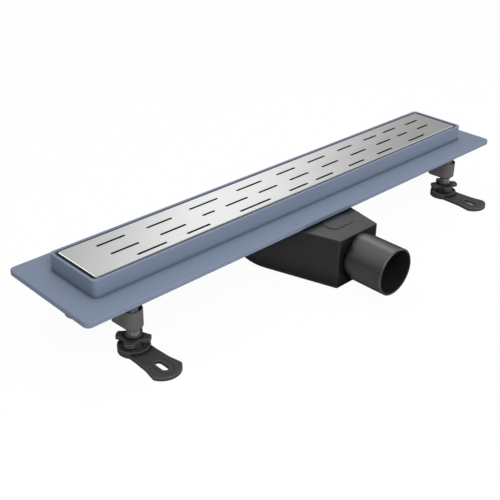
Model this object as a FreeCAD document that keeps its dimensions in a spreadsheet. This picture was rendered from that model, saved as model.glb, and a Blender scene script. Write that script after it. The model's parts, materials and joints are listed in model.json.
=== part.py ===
import FreeCAD, Part
import math
import os
import re
import Sketcher

# A linear shower drain. X runs along the channel, -Y is the side of the outlet, +Z is up.
# The origin is the centre of the grate's top face. All sizes are in millimetres.

SIZES = {
    # channel: the rim stands up round the grate, the flange lies in the floor build-up
    "rim_length": 526,
    "rim_width": 67,
    "rim_wall": 3,
    "rim_height": 17,
    "rim_corner": 4.5,
    "rim_edge_round": 0.8,
    "flange_width": 26,
    "flange_plate": 3,
    "flange_lip_wall": 2.5,
    "flange_lip_depth": 5,
    "flange_corner": 5.5,
    "flange_edge_round": 1.2,
    "end_floor_depth": 25,
    "mid_floor_depth": 30,
    "floor_plate": 3,
    "sump_length": 96,
    "trough_inner_corner": 4,
    "rib_thickness": 2,
    "rib_pitch": 38,
    "rib_height": 4,
    "ledge_length": 26,
    "ledge_height": 3.5,
    "ledge_reach": 5,
    "ledge_spacing": 150,
    # grate: folded sheet, flush with the rim
    "sheet": 1.5,
    "grate_end_gap": 3,
    "grate_side_gap": 1.5,
    "grate_corner": 2.2,
    "skirt_depth": 18.5,
    "fold_radius": 1.4,
    "slot_width": 2.7,
    "back_row": 14,
    "middle_row": -4,
    "front_row": -21.5,
    "pad_length": 20,
    "pad_base": 2,
    "pad_leg": 1.1,
    "pad_grip": 4,
    # clamped joint between channel and trap
    "gasket_thickness": 2,
    "gasket_width": 59,
    "clamp_length": 86,
    "clamp_side_gap": 0.8,
    "clamp_plate": 2.5,
    "clamp_corner": 7,
    "screw_spacing_long": 72,
    "screw_spacing_wide": 40,
    "screw_radius": 1.9,
    "screw_head_radius": 3.6,
    "screw_head_height": 2.2,
    "screw_fit": 0.05,
    "screw_reach": 10,
    "boss_wall": 2,
    "boss_floor": 1.5,
    # trap: a round pot under the mouth and an outlet chamber in front of it
    "pot_radius": 54.5,
    "pot_offset": 8,
    "front_reach": 98.5,
    "front_left": 29,
    "front_right": 27,
    "right_join_angle": 46,
    "step_distance": 37,
    "chamber_gap": 1,
    "trap_wall": 2.5,
    "trap_depth": 75,
    "trap_edge_round": 1.1,
    "trap_corner": 1.5,
    "base_plate": 2,
    "spigot_radius": 24.15,
    "spigot_depth": 48.4,
    "spigot_wall": 1.8,
    "spigot_length": 46,
    "spigot_chamfer": 0.7,
    "panel_left": 16,
    "panel_right": 17,
    "panel_back": 61,
    "panel_front": 80,
    "panel_height": 0.6,
    "panel_corner": 8,
    # water seal
    "mouth_gap": 2,
    "weir_radius": 36,
    "weir_wall": 2,
    "weir_depth": 44,
    "tube_radius": 24,
    "tube_wall": 1.6,
    "tube_depth": 66,
    "tube_gap": 1,
    "collar_radius": 28,
    "collar_plate": 2,
    "seal_section": 1.2,
    "seal_squeeze": 0.05,
    "seal_drop": 1.25,
    "strainer_gap": 0.8,
    "strainer_plate": 1.2,
    "strainer_depth": 14,
    "strainer_holes": 10,
    "strainer_hole": 2.2,
    # feet
    "foot_spacing_long": 464,
    "foot_spacing_wide": 82,
    "bracket_depth": 35,
    "bracket_plate": 4,
    "bracket_half_width": 12,
    "bracket_reach": 32,
    "bracket_screw_reach": 24,
    "bracket_screw_spacing": 13,
    "bracket_screw_length": 6,
    "sleeve_radius": 9.5,
    "sleeve_height": 19,
    "sleeve_chamfer": 2,
    "sleeve_rim": 1.2,
    "sleeve_recess": 5,
    "sleeve_edge_round": 0.4,
    "lobe_half_width": 10.3,
    "lobe_reach": 18.5,
    "lobe_corner": 3,
    "stud_radius": 5.9,
    "stud_fit": 0.08,
    "stud_rise": 7,
    "stud_chamfer": 0.8,
    "wheel_hub_radius": 7.5,
    "wheel_hub_gap": 6.4,
    "wheel_hub_height": 2.9,
    "wheel_height": 3.2,
    "wheel_tip_radius": 15.6,
    "wheel_tip_width": 7.9,
    "wheel_notch_radius": 8.9,
    "wheel_notch_round": 3,
    "wheel_neck_radius": 8,
    "wheel_foot_radius": 9.9,
    "wheel_foot_height": 1.8,
    "floor_depth": 78,
    "cup_radius": 14.8,
    "cup_rim": 1.5,
    "cup_rim_height": 1,
    "cup_room_radius": 10.4,
    "cup_height": 6,
    "cup_mouth_radius": 8.7,
    "cup_lip_height": 0.8,
    "cup_floor": 1.5,
    "plate_thickness": 3.4,
    "plate_waist": 12,
    "plate_shoulder": 12.8,
    "plate_end_half_width": 15.5,
    "plate_shoulder_reach": 32,
    "plate_corner_reach": 46,
    "plate_end_reach": 56,
    "plate_slot_reach": 38.2,
    "plate_slot_length": 16,
    "plate_slot_half_width": 3.4,
    "plate_corner_round": 3.5,
    "plate_side_round": 12,
    "plate_recess_half_width": 7.6,
    "plate_recess_length": 26,
    "plate_recess_depth": 0.8,
    "plate_recess_width": 0.9,
    "foot_gap": 0.3,
}

# Slots of the grate: start and end along the channel and shift across it, in three uneven rows.
BACK_SLOTS = [(-226.5, -195.5, 0), (-173, -143, -2.3), (-120, -83.5, 0), (-58.5, -23, 0),
              (-1.5, 26.5, 0), (46, 73.5, 0), (94.5, 119, 0), (139.5, 162.5, 0), (175, 198, 0),
              (214.5, 238.5, -1.9)]
MIDDLE_SLOTS = [(-225, -194.5, -1.4), (-172, -141.5, -3), (-119, -103.5, 0), (-89.5, -60, 0),
                (-45, -18.5, 0), (-0.5, 28, 0), (48.5, 75, 0), (95.5, 121.5, 0), (140.5, 166, 0),
                (179, 197.5, 0), (214.5, 235.5, -1.5)]
FRONT_SLOTS = [(-209, -176, 0), (-153, -124.5, 0), (-87, -45.5, 0), (-19.5, 8, 0), (20, 47, 0),
               (72, 98, 0), (120, 146.5, 0), (177, 207, 0)]

# Heights and reaches that follow from the sizes above. Heights are along Z, so most are negative.
PLACES = {
    "rim_half_length": "rim_length / 2",
    "rim_half_width": "rim_width / 2",
    "inner_half_length": "rim_half_length - rim_wall",
    "inner_half_width": "rim_half_width - rim_wall",
    "flange_half_length": "rim_half_length + flange_width",
    "flange_half_width": "rim_half_width + flange_width",
    "flange_top": "-rim_height",
    "flange_under": "flange_top - flange_plate",
    "lip_bottom": "flange_top - flange_lip_depth",
    "mid_under": "-mid_floor_depth - floor_plate",
    "end_under": "-end_floor_depth - floor_plate",
    "foot_x": "foot_spacing_long / 2",
    "foot_y": "foot_spacing_wide / 2",
    "floor_fall": "(mid_floor_depth - end_floor_depth) / (inner_half_length - sump_length / 2)",
    "foot_floor_under": "end_under - floor_fall * (inner_half_length - foot_x)",
    "grate_half_length": "inner_half_length - grate_end_gap",
    "grate_half_width": "inner_half_width - grate_side_gap",
    "ledge_top": "-skirt_depth - pad_base",
    "clamp_half_width": "inner_half_width - clamp_side_gap",
    "clamp_top": "-mid_floor_depth + clamp_plate",
    "screw_x": "screw_spacing_long / 2",
    "screw_y": "screw_spacing_wide / 2",
    "screw_hole": "screw_radius + screw_fit",
    "mouth_radius": "tube_radius + mouth_gap",
    "pot_top": "mid_under - gasket_thickness",
    "chamber_top": "lip_bottom - chamber_gap",
    "trap_bottom": "-trap_depth",
    "base_top": "trap_bottom + base_plate",
    "boss_bottom": "pot_top - screw_reach - boss_floor",
    "spigot_axis": "-spigot_depth",
    "spigot_bore": "spigot_radius - spigot_wall",
    "spigot_end": "front_reach + spigot_length",
    "collar_top": "clamp_top + collar_plate",
    "bracket_top": "-bracket_depth",
    "sleeve_bottom": "bracket_top - sleeve_height",
    "stud_top": "bracket_top + stud_rise",
    "stud_bottom": "cup_floor_top + foot_gap",
    "stud_bore": "stud_radius + stud_fit",
    "wheel_top": "sleeve_bottom - wheel_hub_gap",
    "wheel_arm_top": "wheel_top - wheel_hub_height",
    "wheel_arm_bottom": "wheel_arm_top - wheel_height",
    "wheel_foot_top": "stud_bottom + wheel_foot_height",
    "floor_level": "-floor_depth",
    "cup_top": "floor_level + cup_height",
    "cup_floor_top": "floor_level + cup_floor",
    "cup_dish_top": "cup_top - cup_rim_height",
    "plate_top": "floor_level + plate_thickness",
}

doc = FreeCAD.newDocument("LinearShowerDrain")


def bound(text):
    """An expression whose plain size names point at the cells of the two sheets."""
    def cell(match):
        word = match.group(0)
        if word in SIZES:
            return "Sizes." + word
        if word in PLACES:
            return "Places." + word
        return word
    return re.sub(r"[a-z_]+", cell, text)


def fill_sheet(name, rows):
    sheet = doc.addObject("Spreadsheet::Sheet", name)
    for row, (alias, content) in enumerate(rows.items(), start=1):
        sheet.set("A%d" % row, alias)
        sheet.setAlias("B%d" % row, alias)
        sheet.set("B%d" % row, content)
    return sheet


sizes = fill_sheet("Sizes", {alias: str(number) for alias, number in SIZES.items()})
doc.recompute()
places = fill_sheet("Places", {alias: "=" + bound(text) for alias, text in PLACES.items()})
doc.recompute()


def value(text):
    return float(sizes.evalExpression(bound(text)))


class Drawing:
    """A sketch on one of its body's own planes, with every point bound to the sheets."""

    def __init__(self, body, name, plane="XY_Plane", height="0"):
        origin_plane = [item for item in body.Origin.OriginFeatures if item.Role == plane][0]
        self.sketch = body.newObject("Sketcher::SketchObject", name)
        self.sketch.AttachmentSupport = (origin_plane, [""])
        self.sketch.MapMode = "FlatFace"
        self.sketch.setExpression("AttachmentOffset.Base.z", bound(height))

    def tie(self, kind, text, *where):
        index = self.sketch.addConstraint(Sketcher.Constraint(kind, *where, value(text)))
        self.sketch.setExpression("Constraints[%d]" % index, bound(text))

    def pin(self, geometry, point, x, y):
        self.tie("DistanceX", x, -1, 1, geometry, point)
        self.tie("DistanceY", y, -1, 1, geometry, point)

    def circle(self, x, y, radius):
        centre = FreeCAD.Vector(value(x), value(y), 0)
        up = FreeCAD.Vector(0, 0, 1)
        ring = self.sketch.addGeometry(Part.Circle(centre, up, value(radius)), False)
        self.pin(ring, 3, x, y)
        self.tie("Radius", radius, ring)

    def outline(self, corners):
        """A closed outline, counter-clockwise. A corner is (x, y) before a straight edge, or
        (x, y, radius, bend) before an arc: bend is "out", "in" or "round" for over half a turn."""
        first = self.sketch.GeometryCount
        spots = [FreeCAD.Vector(value(corner[0]), value(corner[1]), 0) for corner in corners]
        ends = []
        for number, corner in enumerate(corners):
            start = spots[number]
            finish = spots[(number + 1) % len(corners)]
            if len(corner) == 2:
                self.sketch.addGeometry(Part.LineSegment(start, finish), False)
                ends.append((1, 2))
                continue
            radius = value(corner[2])
            bend = corner[3]
            chord = finish - start
            height = math.sqrt(max(radius ** 2 - chord.Length ** 2 / 4, 0))
            side = 1 if bend == "out" else -1
            left = FreeCAD.Vector(-chord.y, chord.x, 0).normalize()
            centre = (start + finish) * 0.5 + left * height * side
            forward = bend != "in"
            begin, close = (start, finish) if forward else (finish, start)
            turn = [math.atan2(spot.y - centre.y, spot.x - centre.x) for spot in (begin, close)]
            ring = Part.Circle(centre, FreeCAD.Vector(0, 0, 1), radius)
            self.sketch.addGeometry(Part.ArcOfCircle(ring, turn[0], turn[1]), False)
            ends.append((1, 2) if forward else (2, 1))
        for number, corner in enumerate(corners):
            following = (number + 1) % len(corners)
            self.sketch.addConstraint(Sketcher.Constraint(
                "Coincident", first + number, ends[number][1], first + following, ends[following][0]))
        for number, corner in enumerate(corners):
            self.pin(first + number, ends[number][0], corner[0], corner[1])
            if len(corner) > 2:
                self.tie("Radius", corner[2], first + number)

    def rectangle(self, left, front, right, back):
        self.outline([(left, front), (right, front), (right, back), (left, back)])

    def rounded(self, left, front, right, back, radius):
        """A rectangle with round corners."""
        radius = "(%s)" % radius
        x_low, x_high = "%s + %s" % (left, radius), "%s - %s" % (right, radius)
        y_low, y_high = "%s + %s" % (front, radius), "%s - %s" % (back, radius)
        self.outline([
            (x_low, front), (x_high, front, radius, "out"),
            (right, y_low), (right, y_high, radius, "out"),
            (x_high, back), (x_low, back, radius, "out"),
            (left, y_high), (left, y_low, radius, "out")])

    def slot(self, left, right, y, half_width):
        """A slot along X with half-round ends."""
        first = self.sketch.GeometryCount
        x_left, x_right = "%s + %s" % (left, half_width), "%s - %s" % (right, half_width)
        low, high = "%s - %s" % (y, half_width), "%s + %s" % (y, half_width)
        up = FreeCAD.Vector(0, 0, 1)
        radius = value(half_width)
        self.sketch.addGeometry(Part.LineSegment(
            FreeCAD.Vector(value(x_left), value(low), 0),
            FreeCAD.Vector(value(x_right), value(low), 0)), False)
        self.sketch.addGeometry(Part.ArcOfCircle(Part.Circle(
            FreeCAD.Vector(value(x_right), value(y), 0), up, radius),
            -math.pi / 2, math.pi / 2), False)
        self.sketch.addGeometry(Part.LineSegment(
            FreeCAD.Vector(value(x_right), value(high), 0),
            FreeCAD.Vector(value(x_left), value(high), 0)), False)
        self.sketch.addGeometry(Part.ArcOfCircle(Part.Circle(
            FreeCAD.Vector(value(x_left), value(y), 0), up, radius),
            math.pi / 2, 3 * math.pi / 2), False)
        for number in range(4):
            self.sketch.addConstraint(Sketcher.Constraint(
                "Coincident", first + number, 2, first + (number + 1) % 4, 1))
        self.pin(first, 1, x_left, low)
        self.pin(first, 2, x_right, low)
        self.pin(first + 2, 1, x_right, high)
        self.pin(first + 2, 2, x_left, high)
        self.tie("DistanceX", x_right, -1, 1, first + 1, 3)
        self.tie("DistanceX", x_left, -1, 1, first + 3, 3)


def new_body(name):
    body = doc.addObject("PartDesign::Body", name)
    body.Label = name
    return body


def pad(body, drawing, length, down=False, middle=False):
    feature = body.newObject("PartDesign::Pad", drawing.sketch.Name + "_pad")
    feature.Profile = drawing.sketch
    feature.setExpression("Length", bound(length))
    feature.Reversed = down
    feature.Midplane = middle
    return feature


def cut(body, drawing, depth, up=False, middle=False):
    """A pocket; the volume before and after shows whether it really cuts."""
    doc.recompute()
    before = body.Shape.Volume
    feature = body.newObject("PartDesign::Pocket", drawing.sketch.Name + "_cut")
    feature.Profile = drawing.sketch
    feature.setExpression("Length", bound(depth))
    feature.Reversed = up
    feature.Midplane = middle
    doc.recompute()
    if not body.Shape.Volume < before:
        raise ValueError(feature.Name + " cuts nothing")
    return feature


def spin(body, drawing):
    """A full turn of a profile in the XZ plane about the body's Z axis."""
    feature = body.newObject("PartDesign::Revolution", drawing.sketch.Name + "_turn")
    feature.Profile = drawing.sketch
    feature.ReferenceAxis = (drawing.sketch, ["V_Axis"])
    feature.Angle = 360
    return feature


def dressed(body, kind, name, wanted):
    """A fillet or chamfer on the edges of the body that are wanted."""
    doc.recompute()
    base = body.Tip
    edges = ["Edge%d" % number for number, edge in enumerate(base.Shape.Edges, start=1)
             if wanted(edge)]
    feature = body.newObject(kind, name)
    feature.Base = (base, edges)
    return feature


def round_edges(body, name, radius, wanted):
    dressed(body, "PartDesign::Fillet", name, wanted).setExpression("Radius", bound(radius))


def bevel_edges(body, name, size, wanted):
    dressed(body, "PartDesign::Chamfer", name, wanted).setExpression("Size", bound(size))


def middle_of(edge):
    return edge.valueAt((edge.FirstParameter + edge.LastParameter) / 2)


def upright(edge):
    first, last = edge.Vertexes[0].Point, edge.Vertexes[-1].Point
    return abs(first.x - last.x) + abs(first.y - last.y) < 0.001 and abs(first.z - last.z) > 0.001


def level_at(edge, height):
    return all(abs(corner.Z - height) < 0.001 for corner in edge.Vertexes)


def channel_body():
    body = new_body("channel_body")
    plate = Drawing(body, "flange", height="flange_top")
    plate.rounded("-flange_half_length", "-flange_half_width", "flange_half_length",
                  "flange_half_width", "flange_corner")
    pad(body, plate, "flange_plate", down=True)
    lip = Drawing(body, "flange_lip", height="flange_top")
    lip.rounded("-flange_half_length", "-flange_half_width", "flange_half_length",
                "flange_half_width", "flange_corner")
    lip.rounded("-flange_half_length + flange_lip_wall", "-flange_half_width + flange_lip_wall",
                "flange_half_length - flange_lip_wall", "flange_half_width - flange_lip_wall",
                "flange_corner - flange_lip_wall")
    pad(body, lip, "flange_lip_depth", down=True)
    block = Drawing(body, "rim_block")
    block.rounded("-rim_half_length", "-rim_half_width", "rim_half_length", "rim_half_width",
                  "rim_corner")
    pad(body, block, "-mid_under", down=True)
    # the underside rises from the middle to both ends
    under = Drawing(body, "underside", plane="XZ_Plane")
    for side in ("", "-"):
        under.outline(turned(side, [
            ("sump_length / 2", "mid_under - floor_plate"),
            ("rim_half_length + rim_wall", "mid_under - floor_plate"),
            ("rim_half_length + rim_wall", "end_under + floor_fall * 2 * rim_wall"),
            ("sump_length / 2", "mid_under")]))
    cut(body, under, "rim_width * 2", middle=True)
    trough = Drawing(body, "trough", plane="XZ_Plane")
    trough.outline([
        ("-inner_half_length", "rim_wall"),
        ("-inner_half_length", "-end_floor_depth"),
        ("-sump_length / 2", "-mid_floor_depth"),
        ("sump_length / 2", "-mid_floor_depth"),
        ("inner_half_length", "-end_floor_depth"),
        ("inner_half_length", "rim_wall")])
    cut(body, trough, "inner_half_width * 2", middle=True)
    inner_x, inner_y = value("inner_half_length"), value("inner_half_width")
    round_edges(body, "trough_corners", "trough_inner_corner", lambda edge: upright(edge)
                and abs(abs(middle_of(edge).x) - inner_x) < 0.001
                and abs(abs(middle_of(edge).y) - inner_y) < 0.001)
    ledges = Drawing(body, "ledges", height="ledge_top")
    for step in (-3, -1, 1, 3):
        middle = "%d * ledge_spacing / 2" % step
        left, right = middle + " - ledge_length / 2", middle + " + ledge_length / 2"
        ledges.rectangle(left, "-inner_half_width - rim_wall / 2", right,
                         "-inner_half_width + ledge_reach")
        ledges.rectangle(left, "inner_half_width - ledge_reach", right,
                         "inner_half_width + rim_wall / 2")
    pad(body, ledges, "ledge_height", down=True)
    ribs = Drawing(body, "ribs", height="flange_under + flange_plate / 2")
    count = int(value("rim_half_length - rim_corner") // value("rib_pitch"))
    for step in [number for number in range(-count, count + 1) if clear_of_feet(number)]:
        left = "%d * rib_pitch - rib_thickness / 2" % step
        right = "%d * rib_pitch + rib_thickness / 2" % step
        ribs.rectangle(left, "rim_half_width - rim_wall / 2", right,
                       "flange_half_width - flange_lip_wall / 2")
        if clear_of_trap(step):
            ribs.rectangle(left, "-flange_half_width + flange_lip_wall / 2", right,
                           "-rim_half_width + rim_wall / 2")
    pad(body, ribs, "rib_height", down=True)
    feet = Drawing(body, "foot_pads", height="bracket_top")
    for x, y in feet_signs():
        inner, outer = "foot_y - bracket_reach", "rim_half_width"
        low, high = (inner, outer) if y > 0 else ("-" + outer, "-(%s)" % inner)
        feet.rectangle("%d * foot_x - bracket_half_width" % x, low,
                       "%d * foot_x + bracket_half_width" % x, high)
    pad(body, feet, "foot_floor_under - bracket_top + floor_plate / 2")
    pilots = Drawing(body, "foot_screw_holes", height="bracket_top")
    for x, y in feet_signs():
        for side in (-1, 1):
            pilots.circle("%d * foot_x + %d * bracket_screw_spacing / 2" % (x, side),
                          "%d * (foot_y - bracket_screw_reach)" % y, "screw_hole")
    cut(body, pilots, "bracket_screw_length", up=True)
    mouth = Drawing(body, "mouth", height="-mid_floor_depth + floor_plate")
    mouth.circle("0", "0", "mouth_radius")
    clamp_holes(mouth)
    cut(body, mouth, "floor_plate * 3")
    top = value("flange_top")
    round_edges(body, "flange_edge", "flange_edge_round", lambda edge: level_at(edge, top)
                and (abs(middle_of(edge).x) > value("rim_half_length") + 1
                     or abs(middle_of(edge).y) > value("rim_half_width") + 1))
    round_edges(body, "rim_edge", "rim_edge_round", lambda edge: level_at(edge, 0))
    return body


def turned(side, corners):
    """The corners as they are, or mirrored to the other end and kept counter-clockwise."""
    if side == "":
        return corners
    return [("-(%s)" % corner[0], corner[1]) for corner in reversed(corners)]


def feet_signs():
    return [(x, y) for y in (-1, 1) for x in (-1, 1)]


def clear_of_feet(step):
    room = value("bracket_half_width + rib_thickness")
    return abs(abs(step * value("rib_pitch")) - value("foot_x")) > room


def clear_of_trap(step):
    return abs(step * value("rib_pitch")) > value("pot_radius + rib_thickness")


def clamp_holes(drawing):
    for x in (-1, 1):
        for y in (-1, 1):
            drawing.circle("%d * screw_x" % x, "%d * screw_y" % y, "screw_hole")


def grate():
    body = new_body("grate")
    sheet = Drawing(body, "folded_block")
    sheet.rounded("-grate_half_length", "-grate_half_width", "grate_half_length",
                  "grate_half_width", "grate_corner")
    pad(body, sheet, "skirt_depth", down=True)
    round_edges(body, "fold", "fold_radius", lambda edge: level_at(edge, 0))
    inside = Drawing(body, "inside_of_folds", height="-skirt_depth")
    inside.rounded("-grate_half_length + sheet", "-grate_half_width + sheet",
                   "grate_half_length - sheet", "grate_half_width - sheet", "grate_corner - sheet")
    cut(body, inside, "skirt_depth - sheet", up=True)
    reach = value("grate_half_length") - value("grate_corner") * 2
    rows = [("back_row", BACK_SLOTS), ("middle_row", MIDDLE_SLOTS), ("front_row", FRONT_SLOTS)]
    for row, slots in rows:
        drawing = Drawing(body, row + "_slots")
        for start, end, shift in slots:
            if abs(start) < reach and abs(end) < reach:
                drawing.slot(str(start), str(end), "%s + %s" % (row, shift), "slot_width / 2")
        cut(body, drawing, "sheet * 2")
    return body


def grate_pads():
    """Rubber clips on the lower edge of the grate, one over each ledge of the channel."""
    body = new_body("grate_pads")
    pads = Drawing(body, "clips", height="ledge_top")
    grooves = Drawing(body, "grooves", height="ledge_top + pad_base + pad_grip")
    for step in (-3, -1, 1, 3):
        middle = "%d * ledge_spacing / 2" % step
        for side in ("-", ""):
            near, far = [side + "(grate_half_width %s pad_leg)" % end for end in ("- sheet -", "+")]
            inside, outside = side + "(grate_half_width - sheet)", side + "(grate_half_width)"
            if side == "-":
                near, far, inside, outside = far, near, outside, inside
            pads.rectangle(middle + " - pad_length / 2", near, middle + " + pad_length / 2", far)
            grooves.rectangle(middle + " - pad_length", inside, middle + " + pad_length", outside)
    pad(body, pads, "pad_base + pad_grip")
    cut(body, grooves, "pad_grip")
    return body


def trap_outline(drawing, inset):
    """Seen from above: the front wall, the right wall, round the pot and back along its tangent."""
    left, right = "(front_left - %s)" % inset, "(front_right - %s)" % inset
    front, radius = "(front_reach - %s)" % inset, "(pot_radius - %s)" % inset
    depth = "(%s - pot_offset)" % front
    square = "(%s ^ 2 + %s ^ 2)" % (left, depth)
    along = "(%s ^ 2 / %s)" % (radius, square)
    across = "(%s * sqrt(%s - %s ^ 2) / %s)" % (radius, square, radius, square)
    drawing.outline([
        ("-" + left, "-" + front),
        (right, "-" + front),
        ("%s * cos(right_join_angle)" % radius,
         "-pot_offset - %s * sin(right_join_angle)" % radius, radius, "round"),
        ("-%s * %s - %s * %s" % (along, left, across, depth),
         "-pot_offset - %s * %s + %s * %s" % (along, depth, across, left))])


def trap_body():
    body = new_body("trap_body")
    shell = Drawing(body, "trap_shell", height="base_top")
    trap_outline(shell, "0")
    pad(body, shell, "chamber_top - base_top")
    front_y = -value("front_reach")
    round_edges(body, "front_corners", "trap_corner",
                lambda edge: upright(edge) and abs(middle_of(edge).y - front_y) < 0.001)
    step = Drawing(body, "step_under_trough", height="chamber_top")
    step.rectangle("-pot_radius * 2", "-step_distance", "pot_radius * 2", "pot_radius * 2")
    cut(body, step, "chamber_top - pot_top")
    top = value("chamber_top")
    round_edges(body, "top_edge", "trap_edge_round", lambda edge: level_at(edge, top))
    high_room = Drawing(body, "outlet_room", height="pot_top - trap_wall - trap_wall")
    high_room.outline([
        ("-front_left + trap_wall", "-front_reach + trap_wall"),
        ("front_right - trap_wall", "-front_reach + trap_wall"),
        ("front_right + trap_wall", "-step_distance - trap_wall"),
        ("-front_left - trap_wall * 4", "-step_distance - trap_wall")])
    cut(body, high_room, "chamber_top - pot_top + trap_wall", up=True)
    low_room = Drawing(body, "pot_room", height="base_top")
    trap_outline(low_room, "trap_wall")
    cut(body, low_room, "pot_top - trap_wall - base_top", up=True)
    pipe = Drawing(body, "spigot", plane="XZ_Plane", height="front_reach - trap_wall / 2")
    pipe.circle("0", "spigot_axis", "spigot_radius")
    pad(body, pipe, "spigot_length + trap_wall / 2")
    bore = Drawing(body, "spigot_bore_round", plane="XZ_Plane", height="spigot_end")
    bore.circle("0", "spigot_axis", "spigot_bore")
    cut(body, bore, "spigot_length + trap_wall * 3")
    bosses = Drawing(body, "screw_bosses", height="boss_bottom")
    for x in (-1, 1):
        for y in (-1, 1):
            bosses.circle("%d * screw_x" % x, "%d * screw_y" % y, "screw_hole + boss_wall")
    pad(body, bosses, "pot_top - trap_wall / 2 - boss_bottom")
    holes = Drawing(body, "mouth_hole", height="pot_top")
    holes.circle("0", "0", "mouth_radius")
    clamp_holes(holes)
    cut(body, holes, "screw_reach")
    badge = Drawing(body, "raised_pad", height="chamber_top - trap_wall / 2")
    badge.rounded("-panel_left", "-panel_front", "panel_right", "-panel_back", "panel_corner")
    pad(body, badge, "panel_height + trap_wall / 2")
    end_y = -value("spigot_end")
    bevel_edges(body, "spigot_edge", "spigot_chamfer", lambda edge: edge.BoundBox.XLength
                > value("spigot_bore") * 2 + 1 and abs(edge.BoundBox.YMin - end_y) < 0.001
                and edge.BoundBox.YLength < 0.001)
    return body


def trap_base():
    body = new_body("trap_base")
    plate = Drawing(body, "base", height="trap_bottom")
    trap_outline(plate, "0")
    pad(body, plate, "base_plate")
    front_y = -value("front_reach")
    round_edges(body, "base_corners", "trap_corner",
                lambda edge: upright(edge) and abs(middle_of(edge).y - front_y) < 0.001)
    weir = Drawing(body, "weir", height="base_top - base_plate / 2")
    weir.circle("0", "0", "weir_radius")
    weir.circle("0", "0", "weir_radius - weir_wall")
    pad(body, weir, "-weir_depth - base_top + base_plate / 2")
    return body


def trap_gasket():
    body = new_body("trap_gasket")
    flat = Drawing(body, "gasket", height="pot_top")
    flat.rounded("-clamp_length / 2", "-gasket_width / 2", "clamp_length / 2", "gasket_width / 2",
                 "clamp_corner")
    flat.circle("0", "0", "mouth_radius")
    clamp_holes(flat)
    pad(body, flat, "gasket_thickness")
    return body


def clamp_ring():
    body = new_body("clamp_ring")
    flat = Drawing(body, "clamp", height="-mid_floor_depth")
    flat.rounded("-clamp_length / 2", "-clamp_half_width", "clamp_length / 2", "clamp_half_width",
                 "clamp_corner")
    flat.circle("0", "0", "tube_radius + tube_gap")
    clamp_holes(flat)
    pad(body, flat, "clamp_plate")
    return body


def clamp_screws():
    body = new_body("clamp_screws")
    heads = Drawing(body, "clamp_screw_heads", height="clamp_top")
    shanks = Drawing(body, "clamp_screw_shanks", height="clamp_top")
    for x in (-1, 1):
        for y in (-1, 1):
            heads.circle("%d * screw_x" % x, "%d * screw_y" % y, "screw_head_radius")
            shanks.circle("%d * screw_x" % x, "%d * screw_y" % y, "screw_radius")
    pad(body, heads, "screw_head_height")
    pad(body, shanks, "clamp_top - pot_top + screw_reach - foot_gap", down=True)
    top = value("clamp_top + screw_head_height")
    round_edges(body, "clamp_screw_rounds", "screw_head_height / 2",
                lambda edge: level_at(edge, top))
    return body


def dip_tube():
    body = new_body("dip_tube")
    wall = Drawing(body, "tube_profile", plane="XZ_Plane")
    groove = "clamp_top - seal_drop"
    wall.outline([
        ("tube_radius - tube_wall", "-tube_depth"),
        ("tube_radius", "-tube_depth"),
        ("tube_radius", groove + " - seal_section"),
        ("tube_radius - tube_wall / 2", groove + " - seal_section"),
        ("tube_radius - tube_wall / 2", groove + " + seal_section"),
        ("tube_radius", groove + " + seal_section"),
        ("tube_radius", "clamp_top"),
        ("collar_radius", "clamp_top"),
        ("collar_radius", "collar_top"),
        ("tube_radius - tube_wall", "collar_top")])
    spin(body, wall)
    return body


def dip_tube_seal():
    body = new_body("dip_tube_seal")
    ring = Drawing(body, "seal_profile", plane="XZ_Plane")
    low, high = "clamp_top - seal_drop - seal_section", "clamp_top - seal_drop + seal_section"
    inner = "tube_radius - tube_wall / 2"
    outer = "tube_radius + tube_gap - seal_squeeze"
    bevel = "tube_wall / 4"
    ring.outline([
        (inner, "%s + %s" % (low, bevel)),
        ("%s + %s" % (inner, bevel), low),
        ("%s - %s" % (outer, bevel), low),
        (outer, "%s + %s" % (low, bevel)),
        (outer, "%s - %s" % (high, bevel)),
        ("%s - %s" % (outer, bevel), high),
        ("%s + %s" % (inner, bevel), high),
        (inner, "%s - %s" % (high, bevel))])
    spin(body, ring)
    return body


def hair_strainer():
    body = new_body("hair_strainer")
    cup = Drawing(body, "strainer_profile", plane="XZ_Plane")
    outer = "tube_radius - tube_wall - strainer_gap"
    cup.outline([
        ("0", "collar_top - strainer_depth"),
        (outer, "collar_top - strainer_depth"),
        (outer, "collar_top"),
        ("collar_radius - collar_plate", "collar_top"),
        ("collar_radius - collar_plate", "collar_top + strainer_plate"),
        (outer + " - strainer_plate", "collar_top + strainer_plate"),
        (outer + " - strainer_plate", "collar_top - strainer_depth + strainer_plate"),
        ("0", "collar_top - strainer_depth + strainer_plate")])
    spin(body, cup)
    holes = Drawing(body, "strainer_holes_round", height="collar_top - strainer_depth")
    holes.circle("0", "0", "strainer_hole")
    count = int(value("strainer_holes"))
    for number in range(count):
        turn = "%d * 360 / strainer_holes" % number
        ring = "(tube_radius - tube_wall) * 2 / 3"
        holes.circle("%s * cos(%s)" % (ring, turn), "%s * sin(%s)" % (ring, turn), "strainer_hole")
    cut(body, holes, "strainer_plate * 2", up=True)
    return body


def put_foot(body, x, y, turn):
    """Moves a piece drawn about a foot's axis to its corner; turn is about Z, in degrees."""
    body.Placement = FreeCAD.Placement(
        FreeCAD.Vector(0, 0, 0), FreeCAD.Rotation(FreeCAD.Vector(0, 0, 1), turn))
    body.setExpression("Placement.Base.x", bound("%d * foot_x" % x))
    body.setExpression("Placement.Base.y", bound("%d * foot_y" % y))


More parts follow.
